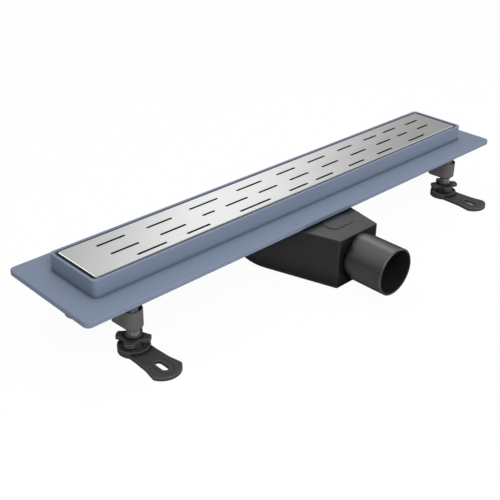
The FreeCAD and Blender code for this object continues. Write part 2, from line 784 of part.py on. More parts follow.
def foot_bracket(corner):
    """Drawn with the stud's axis at the origin and the channel towards +Y."""
    body = new_body("foot_bracket_" + corner)
    plate = Drawing(body, "bracket_plate_" + corner, height="bracket_top")
    plate.rounded("-bracket_half_width", "lobe_reach / 3", "bracket_half_width", "bracket_reach",
                  "lobe_corner")
    pad(body, plate, "bracket_plate", down=True)
    block = Drawing(body, "bracket_block_" + corner, height="bracket_top")
    block.outline([
        ("-sleeve_radius", "0", "sleeve_radius", "out"),
        ("0", "-sleeve_radius", "sleeve_radius", "out"),
        ("sleeve_radius", "0"),
        ("lobe_half_width", "lobe_reach - lobe_corner", "lobe_corner", "out"),
        ("lobe_half_width - lobe_corner", "lobe_reach"),
        ("-lobe_half_width + lobe_corner", "lobe_reach", "lobe_corner", "out"),
        ("-lobe_half_width", "lobe_reach - lobe_corner")])
    pad(body, block, "sleeve_height", down=True)
    bottom = value("sleeve_bottom")
    bevel_edges(body, "bracket_bevel_" + corner, "sleeve_chamfer", lambda edge: level_at(edge, bottom))
    top, radius = value("bracket_top"), value("sleeve_radius")
    round_edges(body, "sleeve_edge_" + corner, "sleeve_edge_round", lambda edge: level_at(edge, top)
                and abs(math.hypot(middle_of(edge).x, middle_of(edge).y) - radius) < 0.01
                and middle_of(edge).y < 0)
    recess = Drawing(body, "sleeve_recess_" + corner, height="bracket_top")
    recess.circle("0", "0", "sleeve_radius - sleeve_rim")
    cut(body, recess, "sleeve_recess")
    bore = Drawing(body, "bracket_bore_" + corner, height="bracket_top")
    bore.circle("0", "0", "stud_bore")
    cut(body, bore, "sleeve_height * 2")
    holes = Drawing(body, "bracket_holes_" + corner, height="bracket_top")
    for side in (-1, 1):
        holes.circle("%d * bracket_screw_spacing / 2" % side, "bracket_screw_reach", "screw_hole")
    cut(body, holes, "bracket_plate * 2")
    return body


def bracket_screws(corner):
    body = new_body("bracket_screws_" + corner)
    heads = Drawing(body, "bracket_heads_" + corner, height="bracket_top - bracket_plate")
    shanks = Drawing(body, "bracket_shanks_" + corner, height="bracket_top - bracket_plate")
    for side in (-1, 1):
        x = "%d * bracket_screw_spacing / 2" % side
        heads.circle(x, "bracket_screw_reach", "screw_head_radius")
        shanks.circle(x, "bracket_screw_reach", "screw_radius")
    pad(body, heads, "screw_head_height", down=True)
    pad(body, shanks, "bracket_plate + bracket_screw_length - foot_gap")
    return body


def stud(corner):
    body = new_body("stud_" + corner)
    rod = Drawing(body, "stud_profile_" + corner, plane="XZ_Plane")
    rod.outline([
        ("0", "stud_bottom"),
        ("stud_radius - stud_chamfer", "stud_bottom"),
        ("stud_radius", "stud_bottom + stud_chamfer"),
        ("stud_radius", "stud_top - stud_chamfer"),
        ("stud_radius - stud_chamfer", "stud_top"),
        ("0", "stud_top")])
    spin(body, rod)
    return body


def star_wheel(corner):
    """Hub, four arms between the axes, and a round foot that turns in the cup of the foot plate."""
    body = new_body("star_wheel_" + corner)
    hub = Drawing(body, "hub_profile_" + corner, plane="XZ_Plane")
    hub.outline([
        ("stud_bore", "stud_bottom"),
        ("wheel_foot_radius", "stud_bottom"),
        ("wheel_foot_radius", "wheel_foot_top"),
        ("wheel_neck_radius", "wheel_foot_top"),
        ("wheel_neck_radius", "wheel_arm_bottom"),
        ("wheel_hub_radius", "wheel_arm_bottom"),
        ("wheel_hub_radius", "wheel_top"),
        ("stud_bore", "wheel_top")])
    spin(body, hub)
    arms = Drawing(body, "arms_" + corner, height="wheel_arm_bottom")
    tip = "sqrt(wheel_tip_radius ^ 2 - wheel_tip_width ^ 2 / 4)"
    corners = []
    for arm in range(4):
        ahead = (45 + 90 * arm) % 360
        along, across = "cos(%d)" % ahead, "sin(%d)" % ahead
        corners += [
            ("wheel_notch_radius * cos(%d)" % (ahead - 45), "wheel_notch_radius * sin(%d)" % (ahead - 45)),
            ("%s * %s + %s * wheel_tip_width / 2" % (tip, along, across),
             "%s * %s - %s * wheel_tip_width / 2" % (tip, across, along), "wheel_tip_radius", "out"),
            ("%s * %s - %s * wheel_tip_width / 2" % (tip, along, across),
             "%s * %s + %s * wheel_tip_width / 2" % (tip, across, along))]
    arms.outline(corners)
    arms.circle("0", "0", "stud_bore")
    pad(body, arms, "wheel_height")
    notch = value("wheel_notch_radius")
    round_edges(body, "notches_" + corner, "wheel_notch_round", lambda edge: upright(edge)
                and abs(math.hypot(middle_of(edge).x, middle_of(edge).y) - notch) < 0.01)
    return body


def foot_plate(corner):
    """Drawn with its cup at the origin and its fixing slot towards +X."""
    body = new_body("foot_plate_" + corner)
    flat = Drawing(body, "plate_" + corner, height="floor_level")
    rise = "(plate_end_reach - plate_corner_reach)"
    flat.outline([
        ("cup_radius / 2", "-plate_waist"),
        ("cup_radius + cup_rim", "-plate_waist"),
        ("plate_shoulder_reach", "-plate_shoulder"),
        ("plate_corner_reach", "-plate_end_half_width",
         "(plate_end_half_width ^ 2 + %s ^ 2) / (2 * %s)" % (rise, rise), "out"),
        ("plate_corner_reach", "plate_end_half_width"),
        ("plate_shoulder_reach", "plate_shoulder"),
        ("cup_radius + cup_rim", "plate_waist"),
        ("cup_radius / 2", "plate_waist")])
    pad(body, flat, "plate_thickness")
    reach, shoulder = value("plate_corner_reach"), value("plate_shoulder_reach")
    round_edges(body, "plate_corners_" + corner, "plate_corner_round",
                lambda edge: upright(edge) and abs(middle_of(edge).x - reach) < 0.001)
    round_edges(body, "plate_sides_" + corner, "plate_side_round",
                lambda edge: upright(edge) and abs(middle_of(edge).x - shoulder) < 0.001)
    groove = Drawing(body, "plate_groove_" + corner, height="plate_top")
    middle, half = "plate_slot_reach", "plate_recess_length / 2"
    groove.slot("%s - %s" % (middle, half), "%s + %s" % (middle, half), "0",
                "plate_recess_half_width")
    inner = "(%s - plate_recess_width)" % half
    groove.slot("%s - %s" % (middle, inner), "%s + %s" % (middle, inner), "0",
                "(plate_recess_half_width - plate_recess_width)")
    cut(body, groove, "plate_recess_depth")
    slot = Drawing(body, "plate_slot_" + corner, height="plate_top")
    slot.slot("plate_slot_reach - plate_slot_length / 2", "plate_slot_reach + plate_slot_length / 2",
              "0", "plate_slot_half_width")
    cut(body, slot, "plate_thickness * 2")
    cup = Drawing(body, "cup_" + corner, height="floor_level")
    cup.circle("0", "0", "cup_radius")
    pad(body, cup, "cup_height")
    room = Drawing(body, "cup_room_" + corner, plane="XZ_Plane")
    room.outline([
        ("0", "cup_floor_top"),
        ("cup_room_radius", "cup_floor_top"),
        ("cup_room_radius", "cup_dish_top - cup_lip_height"),
        ("cup_mouth_radius", "cup_dish_top - cup_lip_height"),
        ("cup_mouth_radius", "cup_dish_top"),
        ("cup_radius - cup_rim", "cup_dish_top"),
        ("cup_radius - cup_rim", "cup_top + cup_rim"),
        ("0", "cup_top + cup_rim")])
    hollow = body.newObject("PartDesign::Groove", "cup_hollow_" + corner)
    hollow.Profile = room.sketch
    hollow.ReferenceAxis = (room.sketch, ["V_Axis"])
    hollow.Angle = 360
    return body


CORNERS = {"front_left": (-1, -1), "front_right": (1, -1), "back_left": (-1, 1), "back_right": (1, 1)}
BRACKET_TURNS = {"front_left": 0, "front_right": 0, "back_left": 180, "back_right": 180}
PLATE_TURNS = {"front_left": -90, "front_right": -90, "back_left": 0, "back_right": 180}
WHEEL_TURNS = {"front_left": -8, "front_right": 12, "back_left": 20, "back_right": -15}

pieces = [channel_body(), grate(), grate_pads(), trap_body(), trap_base(), trap_gasket(), clamp_ring(),
          clamp_screws(), dip_tube(), dip_tube_seal(), hair_strainer()]
for corner, (x, y) in CORNERS.items():
    for make, turn in ((foot_bracket, BRACKET_TURNS[corner]), (bracket_screws, BRACKET_TURNS[corner]),
                       (stud, 0), (star_wheel, WHEEL_TURNS[corner]),
                       (foot_plate, PLATE_TURNS[corner])):
        piece = make(corner)
        put_foot(piece, x, y, turn)
        pieces.append(piece)
doc.recompute()

for item in doc.Objects:
    if "Invalid" in item.State or "Error" in item.State:
        raise ValueError("%s is %s" % (item.Label, item.State))
for piece in pieces:
    if piece.Shape.isNull() or not piece.Shape.isValid():
        raise ValueError(piece.Label + " has no valid shape")

os.makedirs("parts", exist_ok=True)
for piece in pieces:
    piece.Shape.exportStep("parts/%s.step" % piece.Label)
    box = piece.Shape.BoundBox
    print("%-28s solids %d volume %9.1f z %7.2f to %7.2f" % (
        piece.Label, len(piece.Shape.Solids), piece.Shape.Volume, box.ZMin, box.ZMax))
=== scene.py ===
# %% [markdown]
# # A linear shower drain
#
# This lesson dresses a finished model of a shower drain: a long plastic channel with a wide flange,
# a slotted steel grate, a black trap with a round outlet, and four adjustable feet.
# The solids come in as a fixed frame. Here they get their finishes, and the fine pieces that
# a solid model leaves out, such as screw threads, are made round them.

# %% Start and load the solids
import json
import math

import bpy
from mathutils import Matrix, Vector

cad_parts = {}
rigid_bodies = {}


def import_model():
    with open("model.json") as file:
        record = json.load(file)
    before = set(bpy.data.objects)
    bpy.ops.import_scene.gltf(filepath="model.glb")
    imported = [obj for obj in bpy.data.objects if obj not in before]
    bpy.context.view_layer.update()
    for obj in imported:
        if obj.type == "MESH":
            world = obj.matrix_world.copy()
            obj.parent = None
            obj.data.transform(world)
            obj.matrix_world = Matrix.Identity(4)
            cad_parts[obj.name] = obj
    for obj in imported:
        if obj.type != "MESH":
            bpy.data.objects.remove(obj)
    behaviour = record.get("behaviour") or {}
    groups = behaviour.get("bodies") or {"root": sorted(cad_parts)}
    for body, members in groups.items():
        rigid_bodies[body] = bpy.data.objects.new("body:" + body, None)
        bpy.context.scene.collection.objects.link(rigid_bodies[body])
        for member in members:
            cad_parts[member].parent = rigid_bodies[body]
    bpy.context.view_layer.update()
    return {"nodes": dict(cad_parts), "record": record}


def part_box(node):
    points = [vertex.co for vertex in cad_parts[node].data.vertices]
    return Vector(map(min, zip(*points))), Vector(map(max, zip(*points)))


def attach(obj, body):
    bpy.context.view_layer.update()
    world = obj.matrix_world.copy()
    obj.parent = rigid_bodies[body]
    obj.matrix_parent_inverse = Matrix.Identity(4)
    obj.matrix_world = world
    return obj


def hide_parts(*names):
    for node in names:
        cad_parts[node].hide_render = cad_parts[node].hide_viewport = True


for stray in list(bpy.data.objects):
    bpy.data.objects.remove(stray)
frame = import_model()
nodes = frame["nodes"]
MM = 0.001
CORNERS = ("front_left", "front_right", "back_left", "back_right")

# %% [markdown]
# ## Camera
#
# The view is a three-quarter look down along the channel. The camera's place, its turn and its
# focal length belong together, because they decide how much smaller the far end looks. They were
# fitted together to the edges of rim, flange, trap, outlet and feet. The scale of such a fit has to
# be assumed, here from the usual size of a waste pipe. The picture is square.

# %% Camera
CAMERA_PLACE = Vector((-0.59112, -0.54632, 0.36671))
CAMERA_YAW = math.radians(44.64)
CAMERA_PITCH = math.radians(29.3)
CAMERA_ROLL = math.radians(1.04)
SENSOR = 36.0
LENS = 61.9
CLIP_START = 0.01
CLIP_END = 20


def camera_axes(yaw, pitch, roll):
    """Right, up and forward of a camera that looks along +Y when every angle is zero."""
    forward = Vector((math.sin(yaw) * math.cos(pitch), math.cos(yaw) * math.cos(pitch),
                      -math.sin(pitch)))
    level_right = Vector((math.cos(yaw), -math.sin(yaw), 0))
    level_up = level_right.cross(forward)
    right = math.cos(roll) * level_right + math.sin(roll) * level_up
    up = -math.sin(roll) * level_right + math.cos(roll) * level_up
    return right, up, forward


def make_camera():
    data = bpy.data.cameras.new("camera")
    data.sensor_width = SENSOR
    data.lens = LENS
    camera = bpy.data.objects.new("camera", data)
    right, up, forward = camera_axes(CAMERA_YAW, CAMERA_PITCH, CAMERA_ROLL)
    turn = Matrix((right, up, -forward)).transposed().to_4x4()
    camera.matrix_world = Matrix.Translation(CAMERA_PLACE) @ turn
    data.clip_start = CLIP_START
    data.clip_end = CLIP_END
    bpy.context.scene.collection.objects.link(camera)
    bpy.context.scene.camera = camera
    return camera


camera = make_camera()
looks_along = camera.matrix_world.to_3x3() @ Vector((0, 0, -1))
print("camera looks along", [round(part, 3) for part in looks_along])

# %% [markdown]
# ## Floor and light
#
# The drain stands in a white studio. The floor is a pale diffuse surface. The camera sees mostly
# through it to the white world, so it looks white and keeps a faint shadow, and a foot that is
# screwed out below floor level still shows. Shiny surfaces see a different room: a white
# backdrop whose brightness changes with the compass direction, as between large soft panels.
# That change makes the steel run from bright to grey along its length, and gives the black
# plastic its light bands. Three soft lamps light the matt surfaces and stay out of the reflections.
# A small fourth one shines on the grate alone and gives its folded end a bright line.

# %% Light and floor
FLOOR_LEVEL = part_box("foot_plate_front_left")[0].z - 0.1 * MM
FLOOR_SIZE = 12.0
FLOOR_GREY = 0.9
FLOOR_CLEAR_SHARE = 0.96
FLOOR_MIRRORED = 0.15
SKY_STRENGTH = 0.62
BACKDROP_STRENGTH = 1.4
# Compass direction of the backdrop in degrees, from +Y towards +X, and how bright it is there.
# This list and the next were set until the steel's highlight fell where it should.
BACKDROP = [(-180, 0.45), (-120, 0.4), (-85, 0.1), (-58, 0.1), (-50, 0.26), (-36, 0.3), (-10, 0.38),
            (31, 0.37), (35, 0.5), (41, 0.84), (46, 0.74), (50, 0.54), (55, 0.31), (66, 0.27),
            (80, 0.55), (108, 0.6), (118, 0.1), (142, 0.1), (170, 0.45), (180, 0.45)]
# Height above the horizon, as the Z of a unit direction, and the share of brightness there.
BACKDROP_HEIGHT = [(0.0, 0.2), (0.24, 0.25), (0.32, 1.0), (0.7, 1.0), (0.9, 0.8)]
# The same for the soft sky that lights matt surfaces.
SKY = [(0.0, 0.38), (0.75, 1.0)]
# Name, place, target, width, height and power of each soft lamp.
LAMPS = [("key", (-0.5, -1.35, 1.35), (0, 0, 0), 1.0, 1.0, 19),
         ("top", (0.3, 0.4, 1.8), (0, 0, 0), 1.6, 1.6, 9),
         ("low fill", (0.8, -1.0, 0.2), (0, 0, -0.04), 1.0, 0.3, 2.6)]
END_GLINT = ("end glint", (-0.42, 0.22, 0.21), (-0.257, 0, 0), 0.3, 0.08, 0.16)


def new_material(name):
    material = bpy.data.materials.new(name)
    material.use_nodes = True
    tree = material.node_tree
    tree.nodes.clear()
    output = tree.nodes.new("ShaderNodeOutputMaterial")
    return material, tree, output


def number_node(tree, operation, first, second):
    """A Math node; first and second are sockets or plain numbers."""
    node = tree.nodes.new("ShaderNodeMath")
    node.operation = operation
    for socket, source in zip(node.inputs, (first, second)):
        if isinstance(source, (int, float)):
            socket.default_value = source
        else:
            tree.links.new(source, socket)
    return node.outputs[0]


def grey_ramp(tree, source, stops):
    """A ramp of greys; a stop is (position from 0 to 1, brightness)."""
    ramp = tree.nodes.new("ShaderNodeValToRGB")
    elements = ramp.color_ramp.elements
    for position, _ in stops[2:]:
        elements.new(position)
    for element, (position, _) in zip(elements, stops):
        element.position = position
    for element, (_, grey) in zip(elements, stops):
        element.color = (grey, grey, grey, 1)
    tree.links.new(source, ramp.inputs["Fac"])
    return ramp.outputs["Color"]


def mirrored_ray(tree, paths):
    """1 for a ray that a shiny or clear surface sends out, else 0."""
    return number_node(tree, "MAXIMUM", paths.outputs["Is Glossy Ray"],
                       paths.outputs["Is Transmission Ray"])


def blend(tree, share, first, second):
    """A Mix Shader node's output; a share of 1 shows the second shader."""
    mix = tree.nodes.new("ShaderNodeMixShader")
    for socket, source in zip(mix.inputs, (share, first, second)):
        tree.links.new(source, socket)
    return mix.outputs[0]


def make_floor():
    half = FLOOR_SIZE / 2
    mesh = bpy.data.meshes.new("floor")
    corners = [(x * half, y * half, FLOOR_LEVEL) for x, y in ((-1, -1), (1, -1), (1, 1), (-1, 1))]
    mesh.from_pydata(corners, [], [(0, 1, 2, 3)])
    floor = bpy.data.objects.new("floor", mesh)
    bpy.context.scene.collection.objects.link(floor)
    material, tree, output = new_material("floor_white")
    matt = tree.nodes.new("ShaderNodeBsdfDiffuse")
    matt.inputs["Color"].default_value = (FLOOR_GREY, FLOOR_GREY, FLOOR_GREY, 1)
    glow = tree.nodes.new("ShaderNodeEmission")
    paths = tree.nodes.new("ShaderNodeLightPath")
    glow.inputs["Strength"].default_value = FLOOR_MIRRORED
    solid = blend(tree, mirrored_ray(tree, paths), matt.outputs[0], glow.outputs[0])
    clear = tree.nodes.new("ShaderNodeBsdfTransparent")
    seen = number_node(tree, "MULTIPLY", paths.outputs["Is Camera Ray"], FLOOR_CLEAR_SHARE)
    passed = number_node(tree, "MAXIMUM", seen, paths.outputs["Is Shadow Ray"])
    tree.links.new(blend(tree, passed, solid, clear.outputs[0]), output.inputs["Surface"])
    mesh.materials.append(material)


def make_world():
    """White for the camera, the backdrop for shiny surfaces, and a soft sky for matt ones."""
    world = bpy.data.worlds.new("studio")
    world.use_nodes = True
    tree = world.node_tree
    tree.nodes.clear()
    link = tree.links.new
    output = tree.nodes.new("ShaderNodeOutputWorld")
    coordinates = tree.nodes.new("ShaderNodeTexCoord")
    split = tree.nodes.new("ShaderNodeSeparateXYZ")
    link(coordinates.outputs["Generated"], split.inputs[0])
    sky = tree.nodes.new("ShaderNodeBackground")
    sky.inputs["Strength"].default_value = SKY_STRENGTH
    link(grey_ramp(tree, split.outputs["Z"], SKY), sky.inputs["Color"])
    compass = number_node(tree, "ARCTAN2", split.outputs["X"], split.outputs["Y"])
    place = number_node(tree, "ADD", number_node(tree, "DIVIDE", compass, 2 * math.pi), 0.5)
    around = grey_ramp(tree, place, [((angle + 180) / 360, grey) for angle, grey in BACKDROP])
    upward = grey_ramp(tree, split.outputs["Z"], BACKDROP_HEIGHT)
    backdrop = tree.nodes.new("ShaderNodeBackground")
    link(number_node(tree, "MULTIPLY", around, upward), backdrop.inputs["Color"])
    backdrop.inputs["Strength"].default_value = BACKDROP_STRENGTH
    white = tree.nodes.new("ShaderNodeBackground")
    white.inputs["Color"].default_value = (1, 1, 1, 1)
    paths = tree.nodes.new("ShaderNodeLightPath")
    shiny = blend(tree, mirrored_ray(tree, paths), sky.outputs[0], backdrop.outputs[0])
    seen = blend(tree, paths.outputs["Is Camera Ray"], shiny, white.outputs[0])
    link(seen, output.inputs["Surface"])
    bpy.context.scene.world = world


def make_lamp(name, place, target, width, height, power, only=None):
    """A soft lamp that lights matt surfaces only, or one piece with its shine."""
    data = bpy.data.lights.new(name, "AREA")
    data.shape = "RECTANGLE"
    data.size = width
    data.size_y = height
    data.energy = power
    lamp = bpy.data.objects.new(name, data)
    lamp.location = place
    lamp.rotation_euler = (Vector(target) - Vector(place)).to_track_quat("-Z", "Y").to_euler()
    lamp.visible_glossy = only is not None
    if only:
        receivers = bpy.data.collections.new("lit by " + name)
        receivers.objects.link(only)
        lamp.light_linking.receiver_collection = receivers
    bpy.context.scene.collection.objects.link(lamp)


bpy.context.scene.view_settings.view_transform = "Standard"
make_world()
make_floor()
for lamp_row in LAMPS:
    make_lamp(*lamp_row)
make_lamp(*END_GLINT, only=nodes["grate"])
print("lamps:", len(LAMPS) + 1, "floor level:", round(FLOOR_LEVEL, 4))

# %% [markdown]
# ## Finishes
#
# Every finish is built from the same few steps: a base colour with a little cloudy variation,
# a roughness that varies with it, and a fine bump. The bump is what tells moulded plastic
# from brushed sheet: small even grain on one, long parallel scratches on the other.
# A bevel node rounds the light on sharp edges, as on real moulded or folded edges. Some finishes
# also get painted shade in their corners and a painted highlight along sharp edges.

# %% Finish helper
CLOUD_SIZE = 38.0
CLOUD_DETAIL = 4.0
GRAIN_DETAIL = 3.0
BUMP_HEIGHT = 0.1 * MM
EDGE_SAMPLES = 4
CREVICE_SAMPLES = 16
# How far the rounded normal agrees with the flat one where the painted edge highlight begins and
# where it is full.
EDGE_HIGHLIGHT_BEGINS = 0.997
EDGE_HIGHLIGHT_FULL = 0.9


def make_finish(name, colour, rough, metallic=0.0, grain=(1, 1, 1), grain_size=900.0,
                grain_depth=0.06, cloud=0.06, rough_swing=0.06, edge=0.35, specular=0.5,
                anisotropic=0.0, crevice_shade=0.0, crevice_reach=8.0, crevice_alone=False,
                edge_light=0.0):
    """A surface with cloudy colour, uneven roughness, stretched grain and softly rounded edges.

    Corner shade is painted in: black is mixed in where ambient occlusion is high, with
    crevice_alone only from the piece's own form. edge_light paints a pale highlight along sharp
    edges.
    """
    material, tree, output = new_material(name)
    add, link = tree.nodes.new, tree.links.new
    surface = add("ShaderNodeBsdfPrincipled")
    surface.inputs["Metallic"].default_value = metallic
    surface.inputs["Specular IOR Level"].default_value = specular
    surface.inputs["Anisotropic"].default_value = anisotropic
    place = add("ShaderNodeTexCoord")
    stretch = add("ShaderNodeMapping")
    stretch.inputs["Scale"].default_value = grain
    link(place.outputs["Object"], stretch.inputs["Vector"])
    clouds = add("ShaderNodeTexNoise")
    clouds.inputs["Scale"].default_value = CLOUD_SIZE
    clouds.inputs["Detail"].default_value = CLOUD_DETAIL
    link(place.outputs["Object"], clouds.inputs["Vector"])
    grains = add("ShaderNodeTexNoise")
    grains.inputs["Scale"].default_value = grain_size
    grains.inputs["Detail"].default_value = GRAIN_DETAIL
    link(stretch.outputs[0], grains.inputs["Vector"])
    shade = add("ShaderNodeMapRange")
    shade.inputs["To Min"].default_value = 1 - cloud
    shade.inputs["To Max"].default_value = 1 + cloud
    link(clouds.outputs["Fac"], shade.inputs["Value"])
    tint = add("ShaderNodeVectorMath")
    tint.operation = "SCALE"
    tint.inputs[0].default_value = colour
    link(shade.outputs[0], tint.inputs["Scale"])
    shown = tint.outputs[0]
    soften = add("ShaderNodeBevel")
    soften.samples = EDGE_SAMPLES
    soften.inputs["Radius"].default_value = edge * MM
    # Painted highlight: the colour is made paler where the rounded normal bends from the flat one.
    if edge_light:
        flat = add("ShaderNodeNewGeometry")
        bend = add("ShaderNodeVectorMath")
        bend.operation = "DOT_PRODUCT"
        link(soften.outputs[0], bend.inputs[0])
        link(flat.outputs["True Normal"], bend.inputs[1])
        edge_highlight = add("ShaderNodeMapRange")
        edge_highlight.inputs["From Min"].default_value = EDGE_HIGHLIGHT_BEGINS
        edge_highlight.inputs["From Max"].default_value = EDGE_HIGHLIGHT_FULL
        edge_highlight.inputs["To Max"].default_value = edge_light
        link(bend.outputs["Value"], edge_highlight.inputs["Value"])
        pale = add("ShaderNodeVectorMath")
        link(shown, pale.inputs[0])
        link(edge_highlight.outputs[0], pale.inputs[1])
        shown = pale.outputs[0]
    link(shown, surface.inputs["Base Color"])
    gloss = add("ShaderNodeMapRange")
    gloss.inputs["To Min"].default_value = rough - rough_swing
    gloss.inputs["To Max"].default_value = rough + rough_swing
    link(grains.outputs["Fac"], gloss.inputs["Value"])
    link(gloss.outputs[0], surface.inputs["Roughness"])
    bump = add("ShaderNodeBump")
    bump.inputs["Strength"].default_value = grain_depth
    bump.inputs["Distance"].default_value = BUMP_HEIGHT
    link(grains.outputs["Fac"], bump.inputs["Height"])
    link(soften.outputs[0], bump.inputs["Normal"])
    link(bump.outputs[0], surface.inputs["Normal"])
    shell = surface.outputs[0]
    # Painted shade: black is mixed in where ambient occlusion finds corners, recesses and gaps.
    if crevice_shade:
        near = add("ShaderNodeAmbientOcclusion")
        near.samples = CREVICE_SAMPLES
        near.only_local = crevice_alone
        near.inputs["Distance"].default_value = crevice_reach * MM
        black = add("ShaderNodeBsdfDiffuse")
        black.inputs["Color"].default_value = (0, 0, 0, 1)
        openness = number_node(tree, "POWER", near.outputs["AO"], crevice_shade)
        shell = blend(tree, openness, black.outputs[0], shell)
    link(shell, output.inputs["Surface"])
    return material


SPIGOT_WALL = -98.6 * MM
SPIGOT_REACH = 9 * MM
WALL_IOR = 1.8
SPIGOT_IOR = 2.7
# Painted shade on the pipe next to the trap's wall: how dark it starts, and the share of the reach
# it covers.
ROOT_SHADE = 0.85
ROOT_SHARE = 0.6
WALL_MARGIN = 0.05 * MM


def shine_spigot_and_shade_root(material, wall_y, reach, ior_wall, ior_spigot):
    """Gives the pipe stub before the trap's wall a stronger shine, full at this reach from it.

    Where the pipe leaves the wall, painted shade darkens its first millimetres and dims their
    shine.
    Both values of IOR are above a real plastic's and were chosen for the picture. An exported model
    keeps only the wall's, because a linked IOR doesn't reach it.
    """
    tree = material.node_tree
    surface = next(node for node in tree.nodes if node.type == "BSDF_PRINCIPLED")
    place = tree.nodes.new("ShaderNodeTexCoord")
    split = tree.nodes.new("ShaderNodeSeparateXYZ")
    tree.links.new(place.outputs["Object"], split.inputs[0])
    shine = tree.nodes.new("ShaderNodeMapRange")
    shine.inputs["From Min"].default_value = wall_y
    shine.inputs["From Max"].default_value = wall_y - reach
    shine.inputs["To Min"].default_value = ior_wall
    shine.inputs["To Max"].default_value = ior_spigot
    surface.inputs["IOR"].default_value = ior_wall
    tree.links.new(split.outputs["Y"], shine.inputs["Value"])
    tree.links.new(shine.outputs[0], surface.inputs["IOR"])
    # Painted shade: the pipe is darkened next to the wall, fading out over part of the reach.
    root = tree.nodes.new("ShaderNodeMapRange")
    root.inputs["From Min"].default_value = wall_y
    root.inputs["From Max"].default_value = wall_y - ROOT_SHARE * reach
    root.inputs["To Min"].default_value = ROOT_SHADE
    root.inputs["To Max"].default_value = 0.0
    tree.links.new(split.outputs["Y"], root.inputs["Value"])
    on_pipe = number_node(tree, "LESS_THAN", split.outputs["Y"], wall_y - WALL_MARGIN)
    shaded = number_node(tree, "MULTIPLY", root.outputs[0], on_pipe)
    kept = number_node(tree, "SUBTRACT", 1.0, shaded)
    dim = next(node for node in tree.nodes if node.type == "MIX_SHADER")
    openness = dim.inputs["Fac"].links[0].from_socket
    tree.links.new(number_node(tree, "MULTIPLY", openness, kept), dim.inputs["Fac"])


FINISHES = {
    "channel_plastic": make_finish("satin_grey_blue", (0.19, 0.232, 0.316), 0.5, grain_size=1400,
                                   grain_depth=0.16, cloud=0.02, specular=0.3, crevice_shade=0.8,
                                   crevice_reach=4),
    "brushed_steel": make_finish("brushed_sheet", (0.86, 0.86, 0.855), 0.24, metallic=1.0,
                                 grain=(0.012, 1, 1), grain_size=1800, grain_depth=0.2, cloud=0.02,
                                 rough_swing=0.06, edge=0.3, anisotropic=0.3, crevice_shade=0.9,
                                 crevice_reach=1.5),
    "trap_plastic": make_finish("black_moulding", (0.018, 0.018, 0.019), 0.26, grain_size=700,
                                grain_depth=0.012, cloud=0.02, rough_swing=0.015, edge=0.8,
                                crevice_shade=1.7, crevice_reach=22, edge_light=0.13),
    "bracket_plastic": make_finish("grey_moulding", (0.125, 0.118, 0.114), 0.42, grain_depth=0.12,
                                   edge=0.8, edge_light=0.08, crevice_shade=1.6, crevice_reach=8,
                                   crevice_alone=True),
    "foot_plastic": make_finish("dark_moulding", (0.055, 0.055, 0.057), 0.4, grain_depth=0.14,
                                edge=0.7, edge_light=0.2, crevice_shade=2.4, crevice_reach=4,
                                crevice_alone=True, specular=0.3),
    "zinc_steel": make_finish("bright_zinc", (0.66, 0.66, 0.68), 0.26, metallic=0.8,
                              grain_size=1100, grain_depth=0.03, cloud=0.05, rough_swing=0.04,
                              edge=0.05, crevice_shade=1.0, crevice_reach=2),
    "black_rubber": make_finish("black_rubber", (0.02, 0.02, 0.02), 0.7, grain_depth=0.1),
}
shine_spigot_and_shade_root(FINISHES["trap_plastic"], SPIGOT_WALL, SPIGOT_REACH, WALL_IOR, SPIGOT_IOR)
slot_of = {row["node"]: row["material_slot"] for row in frame["record"]["subparts"]}


for name, item in nodes.items():
    for material_slot in item.material_slots:
        material_slot.material = FINISHES[slot_of[name]]
print("finishes:", len(FINISHES))

# %% [markdown]
# ## Geometry Nodes in a script
#
# Screw threads and screws repeat one small form many times, so Geometry Nodes make them: the form
# is described once, with named inputs for its sizes, and every rod or screw is one use of the tree.
# A small helper adds a node and connects its inputs. At the end the result becomes a plain mesh,
# which rides on its body just as the solid did that it replaces.

# %% Geometry Nodes helpers


def new_tree(name, inputs):
    """An empty tree with a geometry output and named number inputs, given as names and values."""
    tree = bpy.data.node_groups.new(name, "GeometryNodeTree")
    tree.is_modifier = True
    tree.interface.new_socket("Geometry", in_out="OUTPUT", socket_type="NodeSocketGeometry")
    for label, value in inputs.items():
        kind = "NodeSocketInt" if isinstance(value, int) else "NodeSocketFloat"
        socket = tree.interface.new_socket(label, in_out="INPUT", socket_type=kind)
        socket.default_value = value
    return tree, tree.nodes.new("NodeGroupInput"), tree.nodes.new("NodeGroupOutput")


def geo_node(tree, kind, sources, **settings):
    """A node whose inputs, by name or number, take a socket or a plain value."""
    node = tree.nodes.new(kind)
    for setting, value in settings.items():
        setattr(node, setting, value)
    for key, source in sources.items():
        if isinstance(source, bpy.types.NodeSocket):
            tree.links.new(source, node.inputs[key])
        else:
            node.inputs[key].default_value = source
    return node


def sums_in(tree):
    """A short form of number_node for one tree, whose second number may be left out."""
    def sums(operation, first, second=0.0):
        return number_node(tree, operation, first, second)
    return sums


def finish_tree(tree, output, geometry, material):
    """Realize Instances and Set Material end every tree."""
    whole = geo_node(tree, "GeometryNodeRealizeInstances", {"Geometry": geometry})
    painted = geo_node(tree, "GeometryNodeSetMaterial",
                       {"Geometry": whole.outputs[0], "Material": material})
    tree.links.new(painted.outputs[0], output.inputs[0])


def grow(name, tree, values):
    """Runs a tree with these input values and keeps the result as a plain mesh object."""
    seed = bpy.data.objects.new(name, bpy.data.meshes.new(name))
    bpy.context.scene.collection.objects.link(seed)
    modifier = seed.modifiers.new("nodes", "NODES")
    modifier.node_group = tree
    for item in tree.interface.items_tree:
        if item.in_out == "INPUT" and item.name in values:
            modifier[item.identifier] = values[item.name]
    evaluated = seed.evaluated_get(bpy.context.evaluated_depsgraph_get())
    mesh = bpy.data.meshes.new_from_object(evaluated)
    seed.modifiers.remove(modifier)
    seed.data = mesh
    mesh.name = name
    return seed


